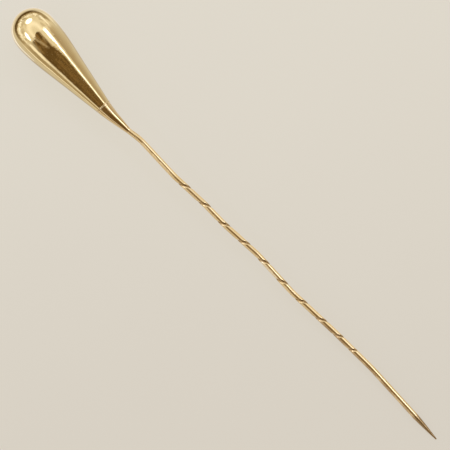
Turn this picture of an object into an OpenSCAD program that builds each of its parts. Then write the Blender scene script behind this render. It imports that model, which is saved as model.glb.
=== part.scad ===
// Gold stick pin, lying on a flat surface.
// The pin's length runs along X, with the head towards -X and the point towards +X.
// The surface is at Z = 0. The pin rests on the widest part of its head and on the far
// end of its wire. All metal is one piece or soldered together, so the pin is one solid.

/* [Head] */
// Length of the drop-shaped head, from its round end to its joint with the neck
head_l = 14.8; // [10:0.1:24]
// Diameter of the head where it is widest
head_d = 5.4; // [3:0.1:8]
// Length by which the head is drawn out where it is widest
head_band_l = 0.6; // [0:0.1:2]
// Angle by which the head's own axis points to the right of the whole pin's
head_turn = 2.35; // [0:0.05:4]

/* [Neck] */
// Diameter of the head and the neck at the soldered joint between them
joint_d = 1.86; // [1.2:0.02:2.6]
// Length of the tapered neck, from the joint to its narrowest place
neck_l = 4; // [2.5:0.1:8]
// Diameter of the neck at its narrowest place
neck_d = 0.68; // [0.4:0.02:1.1]
// Length over which the neck comes up to the wire's full size
neck_rise_l = 1.6; // [0.4:0.1:3]
// Radius of the bends in and beside the neck
neck_bend_r = 8; // [4:0.5:9]

/* [Wire] */
// Length of the wire, from the neck's narrowest place to the tip of the point
wire_l = 51.1; // [46:0.1:80]
// Diameter of the wire
wire_d = 0.72; // [0.5:0.02:1.2]
// Radius of the wire's slight bends
wire_bend_r = 12; // [6:1:16]

/* [Grip] */
// Length of plain wire between the neck and the spiral groove
upper_l = 7.4; // [4:0.1:14]
// Length of plain wire between the spiral groove and the point
plain_end_l = 9.9; // [4:0.1:12]
// Length of wire that one turn of the groove takes
groove_pitch = 3.2; // [1.5:0.1:6]
// Width of the groove, measured round the wire
groove_w = 0.5; // [0.2:0.02:0.7]
// Depth of the groove
groove_depth = 0.1; // [0.04:0.01:0.16]
// Side of the wire where the groove starts, as an angle from its left side over its top
groove_start = 295; // [0:1:360]
// Length of the groove's last stretch, where its turns lie closer
tighten_l = 6.5; // [2:0.1:12]
// Turns that the groove gains over that stretch
tighten_turns = 0.5; // [0:0.05:1]

/* [Point] */
// Length of the point, from where the wire starts to taper
point_l = 3.7; // [2:0.1:6]
// Diameter of the rounded tip
tip_d = 0.16; // [0.1:0.02:0.3]
// Height by which the point's sides swell out of a straight cone
point_swell = 0.02; // [0:0.01:0.08]

/* [Hidden] */

head_r = head_d / 2;
joint_r = joint_d / 2;
neck_r = neck_d / 2;
wire_r = wire_d / 2;
tip_r = tip_d / 2;
gold = [0.86, 0.69, 0.38];
round_fn = 96;

// Taper of the head, from its widest place to the joint.
// Columns: share of the taper's length, share of its drop in radius.
TAPER = [
    [0.00, 0.000],
    [0.15, 0.060],
    [0.30, 0.197],
    [0.45, 0.370],
    [0.60, 0.541],
    [0.80, 0.768],
    [1.00, 1.000],
];
SHARE = 0;
DROP = 1;

// Straight runs of the neck and of the wire, seen from above.
// Columns: share of the piece's length where the run ends, angle to the left of the
// whole pin's axis.
NECK_RUNS = [
    [0.35, 0.0],
    [1.00, 3.1],
];
WIRE_RUNS = [
    [0.032, 9.0],
    [0.149, -1.7],
    [0.241, 2.7],
    [0.309, -0.4],
    [0.408, 3.3],
    [0.527, -2.2],
    [0.664, 2.3],
    [0.779, 0.9],
    [1.000, -2.3],
];
bends_beside_neck = 2;

// All runs of the route, from the joint onwards.
// Columns: distance where the run ends, its angle, radius of the bend that leads into it.
END = 0;
AIM = 1;
BEND = 2;
RUNS = concat(
    [for (run = NECK_RUNS) [neck_l * run[END], run[AIM], neck_bend_r]],
    [
        for (i = [0 : len(WIRE_RUNS) - 1])
            [neck_l + wire_l * WIRE_RUNS[i][END], WIRE_RUNS[i][AIM], i < bends_beside_neck ? neck_bend_r : wire_bend_r]
    ]
);
LAST = len(RUNS) - 1;

// Profile of the head, as points of distance from its round end and radius. The round end
// is a half ball, and only its last degrees are drawn out.
cap_steps = 18;
cap_draw = 5;
taper_steps = 5;
taper_from = head_r + head_band_l;
taper_l = head_l - taper_from;
last_row = len(TAPER) - 1;

function grade(a, b) = (b[DROP] - a[DROP]) / (b[SHARE] - a[SHARE]);
function slope(i) =
    i == 0 ? 0 :
    i == last_row ? grade(TAPER[i - 1], TAPER[i]) :
    grade(TAPER[i - 1], TAPER[i + 1]);

// Smooth curve between two rows, for u from 0 to 1.
function taper_point(i, u) =
    let (
        a = TAPER[i],
        b = TAPER[i + 1],
        gap = b[SHARE] - a[SHARE],
        drop = a[DROP] * (1 + 2 * u) * (1 - u) * (1 - u)
            + b[DROP] * u * u * (3 - 2 * u)
            + gap * slope(i) * u * (1 - u) * (1 - u)
            - gap * slope(i + 1) * u * u * (1 - u)
    )
    [taper_from + taper_l * (a[SHARE] + gap * u), head_r - (head_r - joint_r) * drop];

cap_profile = [
    for (i = [0 : cap_steps])
        let (a = 90 * i / cap_steps)
        [head_r * (1 - cos(a)) + head_band_l * pow(a / 90, cap_draw), head_r * sin(a)]
];
taper_profile = [
    for (i = [0 : last_row - 1], k = [0 : taper_steps - 1])
        if (i + k > 0)
            taper_point(i, k / taper_steps)
];
head_profile = concat(cap_profile, taper_profile, [[head_l, joint_r]]);

// Profile of the point: a slim curve that ends in the round tip.
point_steps = 6;
tip_steps = 6;
tip_turn = 80;
cone_l = point_l - tip_r + tip_r * cos(tip_turn);
cone_end_r = tip_r * sin(tip_turn);
point_profile = concat(
    [
        for (i = [0 : point_steps])
            let (u = i / point_steps)
            [cone_l * u, wire_r + (cone_end_r - wire_r) * u + point_swell * sin(180 * u)]
    ],
    [
        for (i = [1 : tip_steps])
            let (a = tip_turn * (1 - i / tip_steps))
            [point_l - tip_r + tip_r * cos(a), tip_r * sin(a)]
    ]
);

// Route of the neck and the wire in plan.
function ahead(angle) = [cos(angle), sin(angle)];
function left_of(angle) = [-sin(angle), cos(angle)];
function run_start(i) = i == 0 ? 0 : RUNS[i - 1][END];
function run_before(i) = i == 0 ? -head_turn : RUNS[i - 1][AIM];
function corner(i) =
    i == 0 ? head_l * ahead(-head_turn) :
    corner(i - 1) + (run_start(i) - run_start(i - 1)) * ahead(RUNS[i - 1][AIM]);
function turn(i) = RUNS[i][AIM] - run_before(i);
function cut_back(i) = RUNS[i][BEND] * tan(abs(turn(i)) / 2);
function bend_side(i) = sign(turn(i)) * RUNS[i][BEND];
function bend_centre(i) =
    corner(i) - cut_back(i) * ahead(run_before(i)) + bend_side(i) * left_of(run_before(i));
function clamp(value) = min(1, max(0, value));
function eased(share) = share * share * (3 - 2 * share);

// The run or the bend into it that holds the distance d.
function run_at(d) = max([for (i = [0 : LAST]) if (i == 0 || run_start(i) - cut_back(i) <= d) i]);

// Place and direction of the route at the distance d from the joint, as [x, y, angle].
function on_route(d) =
    let (
        i = run_at(d),
        share = (d - run_start(i) + cut_back(i)) / (2 * cut_back(i)),
        angle = run_before(i) + clamp(share) * turn(i),
        p = share < 0 ? corner(i) + (d - run_start(i)) * ahead(angle) :
            share < 1 ? bend_centre(i) - bend_side(i) * left_of(angle) :
            corner(i) + (d - run_start(i)) * ahead(angle)
    )
    [p.x, p.y, angle];

// The last straight of the wire.
stem_l = neck_l + wire_l;
straight_from = run_start(LAST) + cut_back(LAST);
straight_l = stem_l - point_l - straight_from;
straight_place = on_route(straight_from);
straight_profile = concat([[0, wire_r]], [for (p = point_profile) [straight_l + p.x, p.y]]);
tip = on_route(stem_l - tip_r);

// Attitude at rest: the pin pitches until the head and the straight end both touch the
// surface. Each reach is how far a piece goes down past the pin's start.
function reach(profile, from_x, angle, pitch) =
    let (lean = sin(pitch) * cos(angle), rise = sqrt(1 - lean * lean))
    max([for (p = profile) from_x * sin(pitch) + p.x * lean + p.y * rise]);
function head_reach(pitch) = reach(head_profile, 0, head_turn, pitch);
function end_reach(pitch) = reach(straight_profile, straight_place.x, straight_place[2], pitch);
function settled(pitch, rounds) =
    rounds <= 0 ? pitch :
    settled(asin(sin(pitch) + (head_reach(pitch) - end_reach(pitch)) / tip.x), rounds - 1);

settle_rounds = 12;
rest_pitch = settled(0, settle_rounds);
rest_h = head_reach(rest_pitch);

// Plan of the whole pin at rest, which puts the origin under its middle.
head_left = max([for (p = head_profile) p.y * cos(head_turn) - p.x * sin(head_turn)]);
head_right = max([for (p = head_profile) p.y * cos(head_turn) + p.x * sin(head_turn)]);
x_low = head_r * cos(head_turn) * cos(rest_pitch) - head_r;
x_high = tip.x * cos(rest_pitch) + tip_r;
middle = [(x_low + x_high) / 2, (head_left - head_right) / 2];

module lay_down() {
    translate([-middle.x, -middle.y, rest_h])
        rotate([0, rest_pitch, 0])
            children();
}

// Turns a profile of distance and radius into a round solid along X. The seam, where its
// round surface starts and ends, lies beside its lowest line and not on it.
seam_turn = 4.1;

module turned(profile) {
    last = len(profile) - 1;
    outline = concat([[profile[0].x, 0]], profile, profile[last].y > 0 ? [[profile[last].x, 0]] : []);
    rotate([0, 90, 0])
        rotate(seam_turn)
            rotate_extrude($fn = round_fn)
                polygon([for (p = outline) [p.y, p.x]]);
}

module head() {
    rotate([0, 0, -head_turn])
        turned(head_profile);
}

// Radius of the neck or the wire at the distance d from the joint.
function size_at(d) =
    d < neck_l
        ? neck_r + (joint_r - neck_r) * (1 - max(0, d) / neck_l)
        : neck_r + (wire_r - neck_r) * eased(clamp((d - neck_l) / neck_rise_l));

// Turns made by the groove, from the start of the grip.
grip_from = neck_l + upper_l;
grip_l = wire_l - upper_l - plain_end_l - point_l;

function turns_at(d) =
    d / groove_pitch + tighten_turns * pow(max(0, d - grip_l + tighten_l) / tighten_l, 2);
all_turns = turns_at(grip_l);

// Depth of the groove as a share, which fades in and out at the ends of the grip.
fade_turns = 0.4;

function fade(turns) = eased(clamp(min(turns, all_turns - turns) / fade_turns));

// One ring of the wire, as angles from the groove's middle and the share of its depth there.
groove_sides = 4;
wall_sides = 14;
groove_span = groove_w / wire_r * 180 / PI;
ring = concat(
    [
        for (k = [0 : groove_sides])
            let (across = 2 * k / groove_sides - 1)
            [across * groove_span / 2, (1 + cos(180 * across)) / 2]
    ],
    [for (k = [1 : wall_sides - 1]) [groove_span / 2 + k * (360 - groove_span) / wall_sides, 0]]
);

function ring_at(d, size) =
    let (
        place = on_route(d),
        side = left_of(place[2]),
        turns = turns_at(grip_l * clamp((d - grip_from) / grip_l))
    )
    [
        for (p = ring)
            let (
                angle = groove_start - 360 * turns + p[0],
                r = size_at(d) * size - groove_depth * p[1] * fade(turns)
            )
            [place.x + r * cos(angle) * side.x, place.y + r * cos(angle) * side.y, r * sin(angle)]
    ];

// The neck and the bent wire, from inside the head to inside the straight end. Both ends
// are drawn in a little, so that they enter the next piece through its flat end.
socket_l = 0.4;
socket_size = 0.96;
lap = 0.1;
plain_step = 0.5;
rings_a_turn = 15;

function steps(from, to, step) =
    let (count = max(1, ceil((to - from) / step)))
    [for (k = [0 : count - 1]) from + k * (to - from) / count];

ring_places = concat(
    steps(lap, grip_from, plain_step),
    steps(grip_from, grip_from + grip_l, groove_pitch / rings_a_turn),
    steps(grip_from + grip_l, straight_from - lap, plain_step),
    [straight_from - lap]
);

module neck_and_bent_wire() {
    rings = concat(
        [ring_at(-socket_l, socket_size)],
        [for (d = ring_places) ring_at(d, 1)],
        [ring_at(straight_from + socket_l, socket_size)]
    );
    n = len(ring);
    last = len(rings) - 1;
    polyhedron(
        points = [for (points = rings, p = points) p],
        faces = concat(
            [[for (i = [0 : n - 1]) i]],
            [
                for (j = [0 : last - 1], i = [0 : n - 1], half = [0, 1])
                    let (a = j * n + i, b = j * n + (i + 1) % n)
                    half == 0 ? [a, a + n, b + n] : [a, b + n, b]
            ],
            [[for (i = [n - 1 : -1 : 0]) last * n + i]]
        )
    );
}

module straight_end_and_point() {
    translate([straight_place.x, straight_place.y, 0])
        rotate([0, 0, straight_place[2]])
            turned(straight_profile);
}

module stick_pin() {
    color(gold)
        lay_down()
            union() {
                head();
                neck_and_bent_wire();
                straight_end_and_point();
            }
}

stick_pin();
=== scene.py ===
import math
import bpy
from mathutils import Matrix, Vector


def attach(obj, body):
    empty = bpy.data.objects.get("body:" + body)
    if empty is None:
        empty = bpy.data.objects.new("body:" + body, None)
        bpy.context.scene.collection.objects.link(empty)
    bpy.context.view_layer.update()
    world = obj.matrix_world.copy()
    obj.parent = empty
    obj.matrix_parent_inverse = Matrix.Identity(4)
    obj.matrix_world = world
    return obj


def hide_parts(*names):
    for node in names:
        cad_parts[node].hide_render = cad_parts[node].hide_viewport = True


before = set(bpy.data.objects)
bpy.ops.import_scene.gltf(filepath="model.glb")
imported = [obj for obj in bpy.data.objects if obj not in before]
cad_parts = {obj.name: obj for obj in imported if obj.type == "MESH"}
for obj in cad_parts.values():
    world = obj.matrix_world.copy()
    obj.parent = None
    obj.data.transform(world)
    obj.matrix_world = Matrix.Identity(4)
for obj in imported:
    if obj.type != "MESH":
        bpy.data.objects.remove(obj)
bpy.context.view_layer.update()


# Camera
#
# It looks straight down on the pin, as the photograph does. The pin runs from the upper
# left corner of the frame to the lower right one.
MM = 0.001
FRAME_WIDTH = 52.61 * MM
FRAME_MIDDLE = (-0.34 * MM, -0.05 * MM, 1.5 * MM)
FRAME_TURN = math.radians(45.352)

lens = bpy.data.cameras.new("camera")
lens.lens = 800
lens.sensor_width = 36
lens.clip_start = 0.01
lens.clip_end = 20
camera = bpy.data.objects.new("camera", lens)
height = FRAME_WIDTH * lens.lens / lens.sensor_width
camera.location = (FRAME_MIDDLE[0], FRAME_MIDDLE[1], FRAME_MIDDLE[2] + height)
camera.rotation_euler = (0, 0, FRAME_TURN)
bpy.context.scene.collection.objects.link(camera)
bpy.context.scene.camera = camera
bpy.context.scene.view_settings.view_transform = "Standard"


# Ground
#
# A sheet of smooth cream card on a light table. The card glows evenly, so that a pin on
# it throws almost no shadow.
class Value:
    """A socket of a node tree. Sums and products of values add Math nodes to its tree."""

    def __init__(self, graph, socket):
        self.graph = graph
        self.socket = socket

    def math(self, operation, *others):
        return self.graph.add("ShaderNodeMath", {"operation": operation}, [self, *others])[0]

    def __add__(self, other):
        return self.math("ADD", other)

    def __sub__(self, other):
        return self.math("SUBTRACT", other)

    def __mul__(self, other):
        return self.math("MULTIPLY", other)

    def __truediv__(self, other):
        return self.math("DIVIDE", other)

    def __rsub__(self, other):
        return self.graph.value(other).math("SUBTRACT", self)

    def __rtruediv__(self, other):
        return self.graph.value(other).math("DIVIDE", self)

    def within(self, low, high):
        return self.math("MAXIMUM", low).math("MINIMUM", high)

    __radd__ = __add__
    __rmul__ = __mul__


class Graph:
    """A node tree. Each call of add makes one node and gives back its outputs as values."""

    def __init__(self, tree):
        self.tree = tree
        tree.nodes.clear()

    def add(self, kind, settings=(), sockets=()):
        node = self.tree.nodes.new(kind)
        for name, setting in dict(settings).items():
            setattr(node, name, setting)
        pairs = sockets.items() if isinstance(sockets, dict) else enumerate(sockets)
        for key, content in pairs:
            if isinstance(content, Value):
                self.tree.links.new(content.socket, node.inputs[key])
            else:
                node.inputs[key].default_value = content
        return [Value(self, socket) for socket in node.outputs]

    def value(self, number):
        return self.add("ShaderNodeMath", {"operation": "ADD"}, [number, 0.0])[0]

    def mix(self, share, first, second):
        """The first colour where the share is 0, and the second where it is 1."""
        first, second = ((*c, 1) if isinstance(c, tuple) else c for c in (first, second))
        return self.add("ShaderNodeMix", {"data_type": "RGBA"}, {0: share, 6: first, 7: second})[2]

    def step(self, value, low, high):
        """0 below low, 1 above high, and smooth between them. low may lie above high."""
        return self.add(
            "ShaderNodeMapRange",
            {"interpolation_type": "SMOOTHSTEP"},
            {0: value, 1: low, 2: high, 3: 0.0, 4: 1.0},
        )[0]

    def split(self, vector):
        return self.add("ShaderNodeSeparateXYZ", {}, [vector])


# The card reflects CARD_SHARE of its light. The rest is its own glow.
GROUND_SIZE = 3.0
GROUND_LIGHT = (0.764, 0.714, 0.610)
GROUND_DEEP = (0.700, 0.645, 0.549)
CARD_SHARE = 0.12
CLOUDS_IN_A_METRE = 30.0
FADE_REACH = 40 * MM

ground_mesh = bpy.data.meshes.new("ground")
reach = GROUND_SIZE / 2
ground_mesh.from_pydata(
    [(-reach, -reach, 0), (reach, -reach, 0), (reach, reach, 0), (-reach, reach, 0)],
    [],
    [(0, 1, 2, 3)],
)
ground = bpy.data.objects.new("ground", ground_mesh)
bpy.context.scene.collection.objects.link(ground)
card = bpy.data.materials.new("cream_card")
card.use_nodes = True
g = Graph(card.node_tree)
place = g.add("ShaderNodeTexCoord")[3]
x, y, z = g.split(place)
cloud = g.add(
    "ShaderNodeTexNoise", {}, {"Vector": place, "Scale": CLOUDS_IN_A_METRE, "Detail": 2.0}
)[0]
# The tone deepens a little towards the photograph's lower edge.
deep = g.step((0.8 * x - 0.6 * y) / FADE_REACH + 0.3 * (cloud - 0.5), -1.0, 1.0)
tone = g.mix(deep, GROUND_LIGHT, GROUND_DEEP)
pale = g.add("ShaderNodeVectorMath", {"operation": "SCALE"}, {0: tone, 3: CARD_SHARE})[0]
shade = g.add(
    "ShaderNodeBsdfPrincipled",
    {},
    {
        "Base Color": pale,
        "Roughness": 1.0,
        "Specular IOR Level": 0.0,
        "Emission Color": tone,
        "Emission Strength": 1 - CARD_SHARE,
    },
)[0]
g.add("ShaderNodeOutputMaterial", {}, {"Surface": shade})
ground_mesh.materials.append(card)
# The gold mirrors the studio's own table, not this card.
ground.visible_glossy = False


# Studio light
#
# A pale room round a light table, which the gold mirrors. It has two oval lamps, one
# behind the head and one on its right, a long window to the left of the pin, and a dark
# corner that reaches from overhead to the point's side.
WALL = (0.88, 0.88, 0.94)
WALL_LIT = (1.12, 1.16, 1.36)
WALL_DIM = (0.70, 0.68, 0.70)
DOOR = (0.46, 0.40, 0.35)
SHADE = (0.42, 0.36, 0.29)
DARK = (0.12, 0.077, 0.033)
DARK_LIT = (0.26, 0.175, 0.085)
TABLE = (0.69, 0.69, 0.74)
TABLE_LIT = (1.00, 1.04, 1.22)
TABLE_EDGE = (0.50, 0.47, 0.43)
TABLE_RIM = (1.15, 1.27, 1.80)
GLINT = (1.25, 1.38, 1.90)
LAMP = (0.75, 0.85, 1.25)
LAMP_STRENGTH = 5.0
# Azimuth, tilt from overhead, width, height and turn of each oval lamp, in degrees.
LAMPS = [(163, 53, 30, 19, 18), (252, 46, 22, 11, 0)]
DEGREES = 180 / math.pi
ROOM_LEAN = math.radians(-1.9)
FLOOR_LEAN = math.radians(7)
BACK_DROP = 11
RIPPLE_REACH = 30
SPOT_MIDDLE = 3
SPOT_BEND = 0.0003
SPOT_REACH = 0.08

world = bpy.data.worlds.new("studio")
bpy.context.scene.world = world
world.use_nodes = True
g = Graph(world.node_tree)
sight = g.add("ShaderNodeTexCoord")[0]
way = g.add(
    "ShaderNodeVectorRotate", {"rotation_type": "Y_AXIS"}, {"Vector": sight, "Angle": ROOM_LEAN}
)[0]
x, y, z = g.split(way)
ripple = g.add(
    "ShaderNodeTexNoise", {}, {"Vector": way, "Scale": 5.0, "Detail": 3.0, "Roughness": 0.6}
)[0] - 0.5
blotch = g.add("ShaderNodeTexNoise", {}, {"Vector": way, "Scale": 2.7, "Detail": 1.0})[0]

# Directions in degrees: down is the angle from overhead, and left the angle from overhead
# to the pin's left side, negative to its right. aside is the same without its sign. Behind
# the head, where x is negative, everything lies lower by BACK_DROP.
back = g.step(x, 0.0, -0.85)
upright = z * math.cos(FLOOR_LEAN) + y * math.sin(FLOOR_LEAN)
down = upright.math("ARCCOSINE") * DEGREES - BACK_DROP * back
left = y.math("ARCTAN2", z) * DEGREES
aside = left.math("ABSOLUTE")


def band(angle, middle, reach):
    """1 at the middle and 0 beyond its reach to either side."""
    return g.step((angle - middle).math("ABSOLUTE"), reach, 0.0)


# The room behind the head, from overhead down to the table: a lit ceiling with dim
# patches, a broken band of lit places, doors and glints, a dark skirting and the table.
rough_down = down + RIPPLE_REACH * ripple
patch = g.step(blotch, 0.48, 0.56)
behind = g.mix(band(down, 26, 16), WALL, WALL_LIT)
behind = g.mix(g.step(blotch, 0.50, 0.60) * g.step(down, 30, 45), behind, WALL_DIM)
behind = g.mix(band(rough_down, 72, 12) * (1 - patch), behind, WALL_LIT)
glint = g.add("ShaderNodeTexNoise", {}, {"Vector": way, "Scale": 6.5, "Detail": 1.0})[0]
behind = g.mix(band(rough_down, 66, 12) * g.step(glint, 0.50, 0.42) * 0.8, behind, DOOR)
behind = g.mix(band(rough_down, 74, 10) * g.step(glint, 0.52, 0.58), behind, GLINT)
behind = g.mix(g.step(rough_down, 80, 87) * g.step(x, 0.05, -0.15), behind, SHADE)
behind = g.mix(g.step(rough_down, 87, 93) * back, behind, DARK)
behind = g.mix(g.step(down, 98 + 4 * back, 106 + 8 * back), behind, TABLE)

# Low on the pin's left are two lit strips with a shaded one between. Below is the table.
lit_strips = band(left, 80, 9).math("MAXIMUM", band(left, 122, 9))
behind = g.mix(lit_strips * (1 - back), behind, WALL_LIT)
behind = g.mix(band(left, 103, 9) * g.step(x, 0.10, -0.04), behind, SHADE)
behind = g.mix(g.step(z, -0.62, -0.72) * 0.6, behind, TABLE_LIT)

# The room on the point's side. Its dark corner shows as a spot and, past a pale strip
# that slants down, as a broad shadow that grows towards the point.
far = g.step(x, 0.08, 0.22)
near = 1 - far
deep = g.step(x, 0.18, 0.33)
shadow_top = 20 * g.step(x, 0.25, 0.38)
fan = g.add("ShaderNodeCombineXYZ", {}, [45 * x * x, 0.06 * left, 0.0])[0]
streaks = g.add("ShaderNodeTexNoise", {}, {"Vector": fan, "Scale": 1.0, "Detail": 4.0})[0]
shadow = g.mix(g.step(streaks, 0.40, 0.64) * (1 - 0.9 * band(x, 0.27, 0.10)), DARK, DARK_LIT)

# From the dark up to the left: a shaded edge, the wall, and a shaded notch in the strip.
ahead = g.mix(g.step(left - shadow_top, 9, 17), shadow, SHADE)
ahead = g.mix(g.step(left - shadow_top, 13, 23), ahead, WALL)
ahead = g.mix(band(left, 8, 5) * band(x, 0.16, 0.06) * 0.7, ahead, SHADE)

# From the dark down to the right: a door that bends away, a dimmer wall, a lit line and a
# shaded one along the floor, a lit strip and the table.
ahead = g.mix(band(left - 360 * x * x, -23, 9) * g.step(x, 0.27, 0.19), ahead, DOOR)
ahead = g.mix(g.step(left, -34, -58) * near * 0.8, ahead, WALL_DIM)
ahead = g.mix(g.step(left, -50, -64) * (0.35 + 0.65 * near), ahead, SHADE)
floor_line = left - 7 * g.step(x, 0.48, 0.32)
ahead = g.mix(g.step(floor_line, -62, -69) * (1 - 0.45 * deep), ahead, WALL_LIT)
ahead = g.mix(g.step(floor_line, -76, -83), ahead, SHADE)
ahead = g.mix(band(left, -99, 7) * (1 - 0.4 * deep), ahead, WALL_LIT)
ahead = g.mix(g.step(left, -101, -110), ahead, TABLE)

# Past the window on the left: a door, the table and its edge. Straight past the point the
# room is dark again, and less so to both sides.
ahead = g.mix(g.step(left, 54 + 8 * near, 62 + 12 * near) * (0.6 + 0.4 * far), ahead, DOOR)
ahead = g.mix(g.step(left, 60, 140), ahead, TABLE)
ahead = g.mix(g.step(aside, 125, 145) * near, ahead, TABLE_EDGE)
past_point = g.step(x, 0.42, 0.55) * g.step(z, -0.1, 0.1)
ahead = g.mix(past_point * (1 - 0.6 * g.step(aside, 35, 60)), ahead, DARK)

# The dark spot has a round end. Low down on both sides the two rooms fade into each other.
# Over them go a bluish rim of the table on the right and a glow at the window's near end.
from_spot = left - SPOT_MIDDLE
spot_end = (SPOT_BEND * from_spot * from_spot).math("MINIMUM", SPOT_REACH)
beside = g.step(aside, 60, 85)
below = g.step(left, -60, -85)
sky = g.mix(g.step(x - spot_end, -0.08 - 0.22 * below, -0.03 + 0.10 * beside), behind, ahead)
low_edge = band(z, -0.71, 0.11) * g.step(y, -0.20, -0.42) * g.step(x, 0.09, 0.03)
sky = g.mix(low_edge, sky, TABLE_RIM)
sky = g.mix(band(left, 47, 20) * band(x, 0.045, 0.065) * 0.7, sky, GLINT)


def oval_lamp(azimuth, tilt, wide, high, turn):
    """1 inside an oval lamp at that place and of that size, and 0 past its soft edge."""
    attitude = (
        Matrix.Rotation(math.radians(azimuth), 3, "Z")
        @ Matrix.Rotation(math.radians(tilt), 3, "Y")
        @ Matrix.Rotation(math.radians(turn), 3, "Z")
    )
    v, u, before = (
        g.add("ShaderNodeVectorMath", {"operation": "DOT_PRODUCT"}, [way, axis])[1]
        for axis in attitude.col
    )
    u = u / math.sin(math.radians(wide / 2))
    v = v / math.sin(math.radians(high / 2))
    return g.step((u * u + v * v).math("SQRT"), 1.3, 0.7) * g.step(before, 0.2, 0.3)


lamps = oval_lamp(*LAMPS[0]).math("MAXIMUM", oval_lamp(*LAMPS[1]))
# The window is long and narrow. It gets slimmer towards the point, and fades out there.
slim = g.step(x, 0.18, 0.32)
low_side = 38 + 5 * slim
window = g.step(left - low_side, -2, 2) * g.step(left + 3 * slim, 53, 49) * g.step(x, 0.0, 0.13)
window = window * (1 - 0.6 * g.step(x, 0.32, 0.39)) * g.step(x, 0.55, 0.46)
bright = lamps.math("MAXIMUM", window)
sky_light = g.add("ShaderNodeBackground", {}, {"Color": sky, "Strength": 1.0})[0]
lamp_light = g.add(
    "ShaderNodeBackground", {}, {"Color": (*LAMP, 1), "Strength": LAMP_STRENGTH}
)[0]
seen = g.add("ShaderNodeBackground", {}, {"Color": (*GROUND_LIGHT, 1), "Strength": 1.0})[0]
both = g.add("ShaderNodeMixShader", {}, [bright, sky_light, lamp_light])[0]
# Past the card's edge the camera itself sees only the card's tone.
direct = g.add("ShaderNodeLightPath")[0]
shown = g.add("ShaderNodeMixShader", {}, [direct, both, seen])[0]
g.add("ShaderNodeOutputWorld", {}, {"Surface": shown})


# Head
#
# A drop of solid yellow gold, turned on its own axis and polished bright. It has fine
# scratches and shallow knocks from wear, and is widest just behind its round end.
HEAD_LENGTH = 14.8
HEAD_RADIUS = 2.7
HEAD_BAND = 0.6
HEAD_TURN = math.radians(2.35)
JOINT_RADIUS = 0.93
GOLD = (0.90, 0.697, 0.333)
GOLD_DEEP = (0.84, 0.60, 0.25)
# Painted shade and grime, for the groove and other hollows.
SHADE_AND_GRIME = (0.36, 0.20, 0.065)
FILED = (0.42, 0.27, 0.11)
# Painted shade, for the wire's right side towards the point.
SIDE_SHADE = (0.56, 0.37, 0.17)
# A painted highlight, for a pale patch on the wire's right side.
HIGHLIGHT_TONE = (0.98, 0.82, 0.52)
# Rows of the taper: share of its length, and share of its fall to the joint's radius.
HEAD_TAPER = [
    (0.00, 0.000),
    (0.15, 0.060),
    (0.30, 0.197),
    (0.45, 0.370),
    (0.60, 0.541),
    (0.80, 0.768),
    (1.00, 1.000),
]
# How the pin lies: it leans down towards its point, on its head and its far end. Pitch,
# height of the head's round end and middle of the outline are those of part.scad.
REST_PITCH = math.radians(2.13955)
REST_HEIGHT = 2.82863
MIDDLE = (34.8873, -0.136905)
lying = (
    Matrix.Scale(MM, 4)
    @ Matrix.Translation((-MIDDLE[0], -MIDDLE[1], REST_HEIGHT))
    @ Matrix.Rotation(REST_PITCH, 4, "Y")
)


def head_outline():
    """Points of distance from the round end and radius, from the end to the joint."""
    end_steps, row_steps = 80, 30
    points = []
    for i in range(end_steps):
        a = math.pi / 2 * i / end_steps
        from_end = HEAD_RADIUS * (1 - math.cos(a)) + HEAD_BAND * (2 * a / math.pi) ** 5
        points.append((from_end, HEAD_RADIUS * math.sin(a)))
    start = HEAD_RADIUS + HEAD_BAND
    length = HEAD_LENGTH - start
    rows = HEAD_TAPER
    last = len(rows) - 1

    def grade(i, j):
        return (rows[j][1] - rows[i][1]) / (rows[j][0] - rows[i][0])

    slopes = [0] + [grade(i - 1, i + 1) for i in range(1, last)] + [grade(last - 1, last)]
    for i in range(last):
        gap = rows[i + 1][0] - rows[i][0]
        for k in range(row_steps):
            u = k / row_steps
            drop = (
                rows[i][1] * (1 + 2 * u) * (1 - u) ** 2
                + rows[i + 1][1] * u * u * (3 - 2 * u)
                + gap * slopes[i] * u * (1 - u) ** 2
                - gap * slopes[i + 1] * u * u * (1 - u)
            )
            share = rows[i][0] + gap * u
            radius = HEAD_RADIUS - (HEAD_RADIUS - JOINT_RADIUS) * drop
            points.append((start + length * share, radius))
    return points + [(HEAD_LENGTH, JOINT_RADIUS), (HEAD_LENGTH, 0.0)]


def line_object(name, points, radii=None):
    """A curve of one open line through the points, in millimetres, with a radius at each."""
    curve = bpy.data.curves.new(name, "CURVE")
    curve.dimensions = "3D"
    line = curve.splines.new("POLY")
    line.points.add(len(points) - 1)
    for i, (target, point) in enumerate(zip(line.points, points)):
        target.co = (*point, 1)
        target.radius = radii[i] if radii else 1
    made = bpy.data.objects.new(name, curve)
    bpy.context.scene.collection.objects.link(made)
    return made


def new_tree(name, inputs):
    """A geometry tree with named inputs. Gives its graph, its inputs' values and identifiers."""
    tree = bpy.data.node_groups.new(name, "GeometryNodeTree")
    graph = Graph(tree)
    sockets = tree.interface
    sockets.new_socket("Geometry", in_out="OUTPUT", socket_type="NodeSocketGeometry")
    sockets.new_socket("Geometry", in_out="INPUT", socket_type="NodeSocketGeometry")
    identifiers = {}
    for label, content in inputs.items():
        kind = "NodeSocketInt" if isinstance(content, int) else "NodeSocketFloat"
        if isinstance(content, bpy.types.Material):
            kind = "NodeSocketMaterial"
        socket = sockets.new_socket(label, in_out="INPUT", socket_type=kind)
        identifiers[label] = socket.identifier
    given = graph.add("NodeGroupInput")
    return graph, dict(zip(["Geometry", *inputs], given)), identifiers


def flat_sheet(graph, rows, columns):
    """A grid to be rolled up. Gives it, and its shares from 0 to 1 along rows and columns."""
    sheet, share = graph.add("GeometryNodeMeshGrid", {}, [1.0, 1.0, rows, columns])
    along, around, _ = graph.split(share)
    return sheet, along, around


def round_axis(graph, along, radius, angle):
    """A place at that distance along the X axis, and at that radius and angle round it."""
    sides = [radius * angle.math("COSINE"), radius * angle.math("SINE")]
    return graph.add("ShaderNodeCombineXYZ", {}, [along, *sides])[0]


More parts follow.
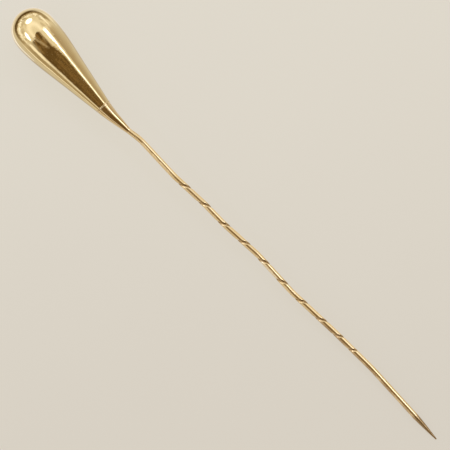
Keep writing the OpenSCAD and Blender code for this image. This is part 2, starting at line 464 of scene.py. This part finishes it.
def output_solid(graph, solid, material):
    """Ends a tree: the solid is shaded smooth, made real and given its material."""
    solid = graph.add("GeometryNodeSetShadeSmooth", {}, {0: solid})[0]
    solid = graph.add("GeometryNodeRealizeInstances", {}, [solid])[0]
    solid = graph.add("GeometryNodeSetMaterial", {}, {0: solid, 2: material})[0]
    graph.add("NodeGroupOutput", {}, [solid])


def baked(carrier, graph, identifiers, inputs, name):
    """Runs a geometry tree on its carrier and gives back the result as a plain mesh object."""
    modifier = carrier.modifiers.new("shape", "NODES")
    modifier.node_group = graph.tree
    for label, identifier in identifiers.items():
        modifier[identifier] = inputs[label]
    bpy.context.view_layer.update()
    evaluated = carrier.evaluated_get(bpy.context.evaluated_depsgraph_get())
    mesh = bpy.data.meshes.new_from_object(evaluated)
    carrier.modifiers.remove(modifier)
    bpy.data.objects.remove(carrier)
    mesh.name = name
    piece = bpy.data.objects.new(name, mesh)
    bpy.context.scene.collection.objects.link(piece)
    return piece


def polished_gold(name, gold, deep_share, scratch_share, grain, knock):
    """Bright gold with soft knocks, a fine mottle and hairline scratches.

    Where a mesh stores them, it also shows painted shade and grime in a groove, filed metal,
    painted shade on one side of the wire, a painted highlight and the duller skin that soldering
    leaves.
    """
    material = bpy.data.materials.new(name)
    material.use_nodes = True
    graph = Graph(material.node_tree)
    place = graph.add("ShaderNodeTexCoord")[3]
    point = graph.add("ShaderNodeVectorMath", {"operation": "SCALE"}, {0: place, 3: 1 / MM})[0]

    def noise(scale, detail=2.0, vector=point):
        return graph.add(
            "ShaderNodeTexNoise", {}, {"Vector": vector, "Scale": scale, "Detail": detail}
        )[0]

    def stored(name):
        return graph.add("ShaderNodeAttribute", {"attribute_name": name})[2]

    # Scratches run in three directions. Each has its angle and the noise that it starts at.
    lines = graph.value(0.0)
    for angle, low in ((0.35, 0.66), (-0.8, 0.68), (1.2, 0.69)):
        turned = graph.add(
            "ShaderNodeMapping",
            {},
            {0: point, "Rotation": (0.2, 0.3 * angle, angle), "Scale": (0.5, 7.0, 7.0)},
        )[0]
        lines = lines.math("MAXIMUM", graph.step(noise(1.0, 1.0, turned), low, low + 0.05))
    mottle = noise(grain, 3.0)
    cloud = noise(0.7)
    worn = graph.step(mottle, 0.55, 0.75)
    colour = graph.mix(deep_share * graph.step(cloud, 0.35, 0.75), gold, GOLD_DEEP)
    # The groove is darkened: painted shade and grime in it.
    groove_shade_and_grime = graph.step(stored("groove") + 0.4 * (mottle - 0.5), 0.10, 0.60)
    filed = stored("filed")
    colour = graph.mix(0.85 * groove_shade_and_grime, colour, SHADE_AND_GRIME)
    # Painted shade: the wire's right side darkens towards the point.
    colour = graph.mix(stored("painted_side_shade") * graph.step(cloud, 0.25, 0.60), colour, SIDE_SHADE)
    # Painted highlight: a pale patch on the wire's right side.
    colour = graph.mix(stored("painted_highlight"), colour, HIGHLIGHT_TONE)
    colour = graph.mix(filed, colour, FILED)
    roughness = 0.045 + 0.05 * worn + scratch_share * lines
    roughness = roughness + 0.25 * (groove_shade_and_grime + filed) + 0.12 * stored("soldered")
    height = knock * (noise(1.1) + 0.25 * noise(2.6)) + 0.01 * mottle - 0.02 * lines
    normal = graph.add(
        "ShaderNodeBump", {}, {"Strength": 0.35, "Distance": 0.05 * MM, "Height": height}
    )[0]
    surface = graph.add(
        "ShaderNodeBsdfPrincipled",
        {},
        {"Base Color": colour, "Metallic": 1.0, "Roughness": roughness, "Normal": normal},
    )[0]
    graph.add("ShaderNodeOutputMaterial", {}, {"Surface": surface})
    return material


head_gold = polished_gold(
    "head_gold", GOLD, deep_share=0.5, scratch_share=0.16, grain=4.0, knock=0.6
)
head_sizes = {
    "Rings": 260,
    "Sides": 160,
    "Knock depth": 0.012,
    "Knocks in a millimetre": 0.5,
    "Seed": 3.0,
    "Material": head_gold,
}
g, given, names = new_tree("turned_drop", head_sizes)
sheet, along, around = flat_sheet(g, given["Rings"], given["Sides"] + 1)
outline = g.add("GeometryNodeSampleCurve", {"mode": "FACTOR"}, {0: given["Geometry"], 2: along})[1]
distance, radius, _ = g.split(outline)
place = round_axis(g, distance, radius, around * (2 * math.pi))
solid = g.add("GeometryNodeSetPosition", {}, {0: sheet, 2: place})[0]
solid = g.add("GeometryNodeMergeByDistance", {}, {0: solid, 2: 0.0001})[0]
spot = g.add("GeometryNodeInputPosition")[0]
dent = g.add(
    "ShaderNodeTexNoise",
    {"noise_dimensions": "4D"},
    {0: spot, 1: given["Seed"], 2: given["Knocks in a millimetre"], 3: 1.0},
)[0]
out = g.add("GeometryNodeInputNormal")[0]
push = g.add(
    "ShaderNodeVectorMath", {"operation": "SCALE"}, {0: out, 3: (dent - 0.5) * given["Knock depth"]}
)[0]
solid = g.add("GeometryNodeSetPosition", {}, {0: solid, 3: push})[0]
output_solid(g, solid, given["Material"])
profile = line_object("head_outline", [(d, r, 0) for d, r in head_outline()])
head = baked(profile, g, names, head_sizes, "head")
head.data.transform(lying @ Matrix.Rotation(-HEAD_TURN, 4, "Z"))
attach(head, "root")
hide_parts("stick_pin")


# Solder seam
#
# A low, uneven bead of gold solder that ran round the joint between the head and the
# neck. It was wiped off while soft and never polished, so it is duller than the gold.
SEAM_PLACE = HEAD_LENGTH - 0.2
SOLDER = (0.80, 0.60, 0.29)

solder = bpy.data.materials.new("gold_solder")
solder.use_nodes = True
g = Graph(solder.node_tree)
place = g.add("ShaderNodeTexCoord")[3]
speck = g.add("ShaderNodeTexNoise", {}, {"Vector": place, "Scale": 5.0 / MM, "Detail": 3.0})[0]
pits = g.step(speck, 0.52, 0.40)
rough = g.add("ShaderNodeBump", {}, {"Strength": 0.5, "Distance": 0.03 * MM, "Height": speck})[0]
# The pits are darkened: painted shade and grime in them.
surface = g.add(
    "ShaderNodeBsdfPrincipled",
    {},
    {
        "Base Color": g.mix(0.7 * pits, SOLDER, SHADE_AND_GRIME),
        "Metallic": 1.0,
        "Roughness": 0.12 + 0.3 * speck,
        "Normal": rough,
    },
)[0]
g.add("ShaderNodeOutputMaterial", {}, {"Surface": surface})

seam_sizes = {
    "Steps round the pin": 96,
    "Steps round the bead": 16,
    "Ring radius": JOINT_RADIUS + 0.030,
    "Bead half width": 0.22,
    "Bead height": 0.014,
    "Unevenness": 0.65,
    "Lumps in a millimetre": 1.7,
    "Seed": 7.0,
    "Material": solder,
}
g, given, names = new_tree("solder_bead", seam_sizes)
sheet, around, over = flat_sheet(
    g, given["Steps round the pin"] + 1, given["Steps round the bead"] + 1
)
angle = around * (2 * math.pi)
roll = over * (2 * math.pi)
ring_spot = round_axis(g, 0.0, 1.0, angle)
lump = g.add(
    "ShaderNodeTexNoise",
    {"noise_dimensions": "4D"},
    {0: ring_spot, 1: given["Seed"], 2: given["Lumps in a millimetre"], 3: 2.0},
)[0]
swell = 1 + given["Unevenness"] * (lump - 0.5) * 4
forward = given["Bead half width"] * swell * roll.math("COSINE")
radius = given["Ring radius"] + given["Bead height"] * swell * roll.math("SINE")
spot = round_axis(g, forward, radius, angle)
solid = g.add("GeometryNodeSetPosition", {}, {0: sheet, 2: spot})[0]
solid = g.add("GeometryNodeMergeByDistance", {}, {0: solid, 2: 0.0001})[0]
output_solid(g, solid, given["Material"])
seam = baked(line_object("seam_place", [(0, 0, 0), (1, 0, 0)]), g, names, seam_sizes, "solder_seam")
seam.data.transform(
    lying @ Matrix.Rotation(-HEAD_TURN, 4, "Z") @ Matrix.Translation((SEAM_PLACE, 0, 0))
)
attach(seam, "root")
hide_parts("stick_pin")


# Stem
#
# One length of drawn gold wire. Its thick end is forged to a neck and soldered into the
# head, a spiral groove is cut round it for grip, and its far end is filed to a point.
NECK_LENGTH = 4.0
WIRE_LENGTH = 51.1
WIRE_RADIUS = 0.36
SOCKET = 0.4
WIRE_GOLD = (0.90, 0.665, 0.325)
# Where the painted shade on the wire's right side starts, and where its painted highlight lies.
SIDE_SHADE_START = 33.0
HIGHLIGHT_START = 25.6
HIGHLIGHT_END = 28.9
SOLDERED_END = 1.7
# Straight runs of the neck and of the wire: where each ends, as a share of the length, and
# its heading in degrees to the left.
NECK_RUNS = [(0.35, 0.0), (1.00, 3.1)]
WIRE_RUNS = [
    (0.032, 9.0),
    (0.149, -1.7),
    (0.241, 2.7),
    (0.309, -0.4),
    (0.408, 3.3),
    (0.527, -2.2),
    (0.664, 2.3),
    (0.779, 0.9),
    (1.000, -2.3),
]
# Radius of the bends in millimetres. The first NECK_BENDS of them are the tighter ones.
NECK_BENDS = 4
NECK_BEND = 8.0
WIRE_BEND = 12.0


def route():
    """Corners of the wire's middle line, from inside the head to the tip, and their bends."""
    aim = -HEAD_TURN
    corner = Vector((math.cos(aim), math.sin(aim))) * (HEAD_LENGTH - SOCKET)
    corners, bends = [corner.copy()], [0.0]
    corner += Vector((math.cos(aim), math.sin(aim))) * SOCKET
    runs = [(NECK_LENGTH * share, math.radians(a)) for share, a in NECK_RUNS]
    runs += [(NECK_LENGTH + WIRE_LENGTH * share, math.radians(a)) for share, a in WIRE_RUNS]
    start = 0
    for i, (end, heading) in enumerate(runs):
        corners.append(corner.copy())
        bends.append(NECK_BEND if i < NECK_BENDS else WIRE_BEND)
        corner += Vector((math.cos(heading), math.sin(heading))) * (end - start)
        start = end
    corners.append(corner)
    bends.append(0.0)
    return [(c.x, c.y, 0) for c in corners], bends


wire_gold = polished_gold(
    "wire_gold", WIRE_GOLD, deep_share=0.6, scratch_share=0.12, grain=5.0, knock=0.3
)
stem_sizes = {
    "Rings": 1000,
    "Sides": 64,
    "Socket": SOCKET,
    "Joint radius": JOINT_RADIUS,
    "Neck length": NECK_LENGTH,
    "Neck radius": 0.34,
    "Neck rise": 1.6,
    "Wire radius": WIRE_RADIUS,
    "Grip start": 11.4,
    "Grip length": 30.1,
    "Groove pitch": 3.2,
    "Groove width": 0.5,
    "Groove depth": 0.1,
    "Groove start": 295.0,
    "Tighten length": 6.5,
    "Tighten turns": 0.5,
    "Fade turns": 0.4,
    "Point length": 3.7,
    "Tip radius": 0.08,
    "Point swell": 0.02,
    "Material": wire_gold,
}
g, given, names = new_tree("grooved_wire", stem_sizes)
bend = g.add("GeometryNodeInputRadius")[0]
rail = g.add(
    "GeometryNodeFilletCurve",
    {"mode": "POLY"},
    {0: given["Geometry"], 1: 16, 2: bend, 3: True},
)[0]
whole = g.add("GeometryNodeCurveLength", {}, [rail])[0]
sheet, along, around = flat_sheet(g, given["Rings"], given["Sides"] + 1)
# The rings stand closer together towards the tip.
rest = 1 - along
near_tip = 1 - 0.3 * rest - 0.7 * rest * rest
walked = whole * near_tip
middle, ahead_way = g.add("GeometryNodeSampleCurve", {"mode": "LENGTH"}, {0: rail, 3: walked})[1:3]
distance = walked - given["Socket"]
to_tip = whole - walked


def eased(share):
    """The share with a soft start and a soft end."""
    return share * share * (3 - 2 * share)


neck_share = (1 - distance / given["Neck length"]).within(0.0, 1.0)
neck_size = given["Neck radius"] + (given["Joint radius"] - given["Neck radius"]) * neck_share
rise = eased(((distance - given["Neck length"]) / given["Neck rise"]).within(0.0, 1.0))
body_size = neck_size + (given["Wire radius"] - given["Neck radius"]) * rise
taper_length = given["Point length"] - given["Tip radius"]
point_share = (1 - (to_tip - given["Tip radius"]) / taper_length).within(0.0, 1.0)
swell = given["Point swell"] * (point_share * math.pi).math("SINE")
body_size = body_size + (given["Tip radius"] - given["Wire radius"]) * point_share + swell
round_off = 1 - (to_tip / given["Tip radius"]).math("MINIMUM", 1.0)
size = body_size * (1 - round_off * round_off).math("MAXIMUM", 0.0).math("SQRT")

in_grip = distance - given["Grip start"]
grip_end = given["Grip length"]
clamped = in_grip.within(0.0, grip_end)


def turns_at(way_in):
    """Turns of the groove up to that place in the grip. It tightens over the last stretch."""
    late = (way_in - grip_end + given["Tighten length"]).math("MAXIMUM", 0.0)
    late = late / given["Tighten length"]
    return way_in / given["Groove pitch"] + given["Tighten turns"] * late * late


turns = turns_at(clamped)
all_turns = turns_at(grip_end)
from_ends = turns.math("MINIMUM", all_turns - turns)
fade = eased((from_ends / given["Fade turns"]).math("MINIMUM", 1.0))
turned_by = around * 360 - given["Groove start"] + 360 * turns
aside = turned_by.math("WRAP", 180.0, -180.0).math("ABSOLUTE")
span = given["Groove width"] / given["Wire radius"] * DEGREES
across = (aside * 2 / span).math("MINIMUM", 1.0)
cut = (1 + (across * math.pi).math("COSINE")) / 2 * fade
size = size - given["Groove depth"] * cut

angle = around * (2 * math.pi)
sideways = g.add(
    "ShaderNodeVectorMath", {"operation": "CROSS_PRODUCT"}, {0: (0, 0, 1), 1: ahead_way}
)[0]
sideways = g.add(
    "ShaderNodeVectorMath", {"operation": "SCALE"}, {0: sideways, 3: size * angle.math("COSINE")}
)[0]
upwards = g.add("ShaderNodeCombineXYZ", {}, [0.0, 0.0, size * angle.math("SINE")])[0]
spot = g.add("ShaderNodeVectorMath", {"operation": "ADD"}, [middle, sideways])[0]
spot = g.add("ShaderNodeVectorMath", {"operation": "ADD"}, [spot, upwards])[0]
solid = g.add("GeometryNodeSetPosition", {}, {0: sheet, 2: spot})[0]

# What work and wear left on the wire, and the painted shade and painted highlight on its right
# side, each from 0 to 1, for its material. left_side is 1 on the pin's left side and -1 on its
# right.
filed = g.step(to_tip, given["Point length"] + 0.6, given["Point length"] - 0.8)
left_side = angle.math("COSINE")
# The wire's right side darkens towards the point: painted shade.
painted_side_shade = g.step(left_side, -0.02, -0.42) * g.step(distance, SIDE_SHADE_START, SIDE_SHADE_START + 3.5)
# A pale patch on the wire's right side, where a lamp's reflection falls: painted highlight.
painted_highlight = 0.8 * g.step((left_side + 0.60).math("ABSOLUTE"), 0.30, 0.10)
painted_highlight = painted_highlight * g.step(distance, HIGHLIGHT_START, HIGHLIGHT_START + 0.6)
painted_highlight = painted_highlight * g.step(distance, HIGHLIGHT_END, HIGHLIGHT_END - 0.7)
soldered = g.step(distance, SOLDERED_END, SOLDERED_END - 1.3)
marks = {"groove": cut, "filed": filed, "painted_side_shade": painted_side_shade, "painted_highlight": painted_highlight, "soldered": soldered}
for name, amount in marks.items():
    solid = g.add(
        "GeometryNodeStoreNamedAttribute", {"data_type": "FLOAT"}, {0: solid, 2: name, 3: amount}
    )[0]
solid = g.add("GeometryNodeMergeByDistance", {}, {0: solid, 2: 0.0001})[0]
output_solid(g, solid, given["Material"])
corners, bends = route()
stem = baked(line_object("wire_route", corners, bends), g, names, stem_sizes, "stem")
stem.data.transform(lying)
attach(stem, "root")
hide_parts("stick_pin")
